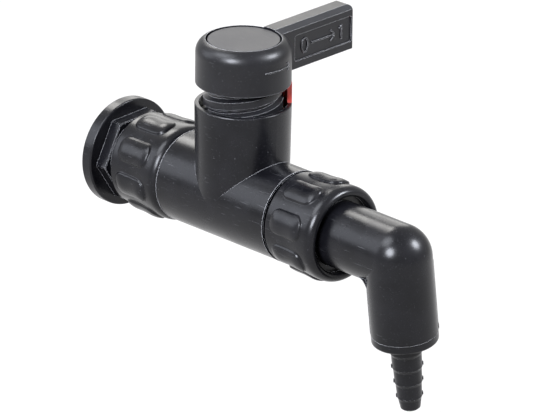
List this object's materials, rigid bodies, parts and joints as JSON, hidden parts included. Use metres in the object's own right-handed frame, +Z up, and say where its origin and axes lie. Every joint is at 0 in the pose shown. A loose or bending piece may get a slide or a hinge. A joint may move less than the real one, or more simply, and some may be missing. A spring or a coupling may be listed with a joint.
{
  "type": "drain cock",
  "caption": "Plastic drain cock: threaded tank flange, union nuts, tee body with lever-operated lifting screw stem, swivel elbow and barbed hose tail.",
  "frame": {"origin": "centre of the flange's back face, in the mouth of the threaded inlet", "axes": "+X along the pipe from inlet to outlet, +Z up along the stem, +Y to the side the lever points at rest"},
  "size_m": [0.1882, 0.0894, 0.1458],
  "materials": {
    "black_polypropylene": "injection-moulded, satin",
    "handle_polypropylene": "injection-moulded, satin",
    "cover_polypropylene": "injection-moulded, fine matt grain",
    "black_acetal": "moulded, slightly glossy",
    "natural_acetal": "moulded, natural white",
    "red_abs": "moulded, semi-gloss red",
    "epdm_rubber": "moulded rubber",
    "stainless_steel": "turned or stamped stainless steel"
  },
  "bodies": {
    "tank_side": {"tank_fitting": "black_polypropylene", "tank_socket_seal": "epdm_rubber", "inlet_union_gasket": "epdm_rubber"},
    "inlet_nut": {"inlet_union_nut": "black_polypropylene"},
    "valve": {"valve_body": "black_polypropylene", "inlet_retaining_ring": "natural_acetal", "tower_guide": "natural_acetal", "stop_block": "red_abs", "outlet_union_gasket": "epdm_rubber"},
    "plug": {"valve_plug": "natural_acetal", "plug_o_ring": "epdm_rubber", "seat_washer": "epdm_rubber", "seat_screw": "stainless_steel", "spindle_clip": "stainless_steel", "thrust_washer": "stainless_steel"},
    "handle": {"spindle": "black_acetal", "handle": "handle_polypropylene", "cover_disc": "cover_polypropylene", "handle_screw": "stainless_steel", "handle_screw_washer": "stainless_steel"},
    "outlet_nut": {"outlet_union_nut": "black_polypropylene"},
    "elbow": {"elbow": "black_polypropylene", "outlet_retaining_ring": "natural_acetal", "hose_tail": "black_polypropylene", "hose_tail_o_ring": "epdm_rubber"}
  },
  "joints": [
    {"name": "inlet_nut_turn", "type": "hinge", "parent": "tank_side", "child": "inlet_nut", "pos_m": [0.03, 0, 0], "axis": [1, 0, 0], "range_deg": [-90, 0]},
    {"name": "body_swivel", "type": "hinge", "parent": "tank_side", "child": "valve", "pos_m": [0.03, 0, 0], "axis": [1, 0, 0], "continuous": true},
    {"name": "stem_lift", "type": "slide", "parent": "valve", "child": "plug", "axis": [0, 0, 1], "range_m": [0, 0.0045]},
    {"name": "handle_turn", "type": "hinge", "parent": "plug", "child": "handle", "pos_m": [0.077, 0, 0.05], "axis": [0, 0, 1], "range_deg": [0, 120]},
    {"name": "outlet_nut_turn", "type": "hinge", "parent": "valve", "child": "outlet_nut", "pos_m": [0.13, 0, 0], "axis": [1, 0, 0], "range_deg": [-90, 0]},
    {"name": "elbow_swivel", "type": "hinge", "parent": "valve", "child": "elbow", "pos_m": [0.13, 0, 0], "axis": [1, 0, 0], "continuous": true}
  ],
  "couplings": [
    {"joint": "stem_lift", "follows": "handle_turn", "m_per_rad": 0.0021486}
  ]
}
